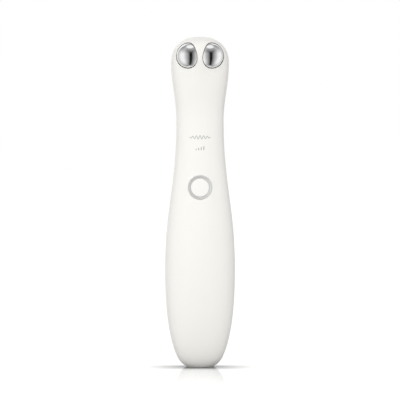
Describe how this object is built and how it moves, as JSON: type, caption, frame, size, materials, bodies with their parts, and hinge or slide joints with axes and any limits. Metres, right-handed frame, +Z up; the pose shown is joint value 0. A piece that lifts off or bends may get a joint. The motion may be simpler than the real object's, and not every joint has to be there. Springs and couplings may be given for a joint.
{
  "type": "heated eye massager wand",
  "caption": "Slim hand-held wand with warmed dome rollers in its head for massaging around the eyes, a ringed push button and a charging socket in its flat foot.",
  "frame": {"origin": "centre of the flat foot, where the seam's plane meets the middle plane", "axes": "+Z up along the wand to the crown, -Y out of the front with the rollers and the button, +X to the right seen from the front"},
  "size_m": [0.033, 0.0277, 0.155],
  "materials": {
    "casing_white": "satin gloss, warm white",
    "button_white": "satin gloss, warm white",
    "cap_grey": "fine matte",
    "polished_chrome": "mirror polish",
    "ring_metal": "satin",
    "bush_bronze": "turned",
    "pin_steel": "ground",
    "clip_steel": "black oxide",
    "screw_steel": "zinc plated",
    "cradle_metal": "cast",
    "heater_film": "smooth",
    "sensor_bead": "smooth",
    "switch_black": "fine matte",
    "board_green": "solder mask",
    "chip_black": "fine matte",
    "parts_mixed": "smooth",
    "lamp_clear": "clear",
    "frame_grey": "fine matte",
    "cell_wrap": "shrink wrap over a metal can",
    "foam_dark": "foam",
    "boot_rubber": "matte",
    "motor_steel": "plated",
    "weight_metal": "sintered",
    "socket_steel": "plated",
    "lead_red": "smooth insulation",
    "lead_blue": "smooth insulation"
  },
  "bodies": {
    "housing": {"front_shell": "casing_white", "rear_shell": "casing_white", "base_cap": "cap_grey", "left_axle": "pin_steel", "right_axle": "pin_steel", "axle_clips": "clip_steel", "roller_cradle": "cradle_metal", "cradle_screws": "screw_steel", "heater_plate": "heater_film", "heat_sensor": "sensor_bead", "button_ring": "ring_metal", "switch_case": "switch_black", "main_board": "board_green", "control_chip": "chip_black", "power_parts": "parts_mixed", "mode_lights": "lamp_clear", "light_shield": "switch_black", "board_screws": "screw_steel", "inner_frame": "frame_grey", "frame_screws": "screw_steel", "battery_cell": "cell_wrap", "battery_pad": "foam_dark", "motor_can": "motor_steel", "motor_boot": "boot_rubber", "socket_shell": "socket_steel", "socket_tongue": "chip_black", "charge_board": "board_green", "heater_leads": "lead_red", "motor_leads": "lead_blue", "battery_leads": "lead_red", "charge_leads": "lead_red"},
    "left_roller_unit": {"left_roller": "polished_chrome", "left_bush": "bush_bronze"},
    "right_roller_unit": {"right_roller": "polished_chrome", "right_bush": "bush_bronze"},
    "button": {"button_cap": "button_white", "switch_plunger": "switch_black"},
    "motor_rotor": {"motor_shaft": "pin_steel", "eccentric_weight": "weight_metal"}
  },
  "joints": [
    {"name": "left_roll", "type": "hinge", "parent": "housing", "child": "left_roller_unit", "pos_m": [-0.0047, -0.00949, 0.1458], "axis": [-0.9286, -0.3565, -0.1028], "continuous": true},
    {"name": "right_roll", "type": "hinge", "parent": "housing", "child": "right_roller_unit", "pos_m": [0.0047, -0.00949, 0.1458], "axis": [0.9286, -0.3565, -0.1028], "continuous": true},
    {"name": "button_press", "type": "slide", "parent": "housing", "child": "button", "axis": [0, 1, 0], "range_m": [0, 0.0004], "stiffness_N_per_m": 3000, "springref_m": -0.0002},
    {"name": "motor_spin", "type": "hinge", "parent": "housing", "child": "motor_rotor", "pos_m": [0, -0.0008, 0.1304], "axis": [0, 0, 1], "continuous": true}
  ]
}
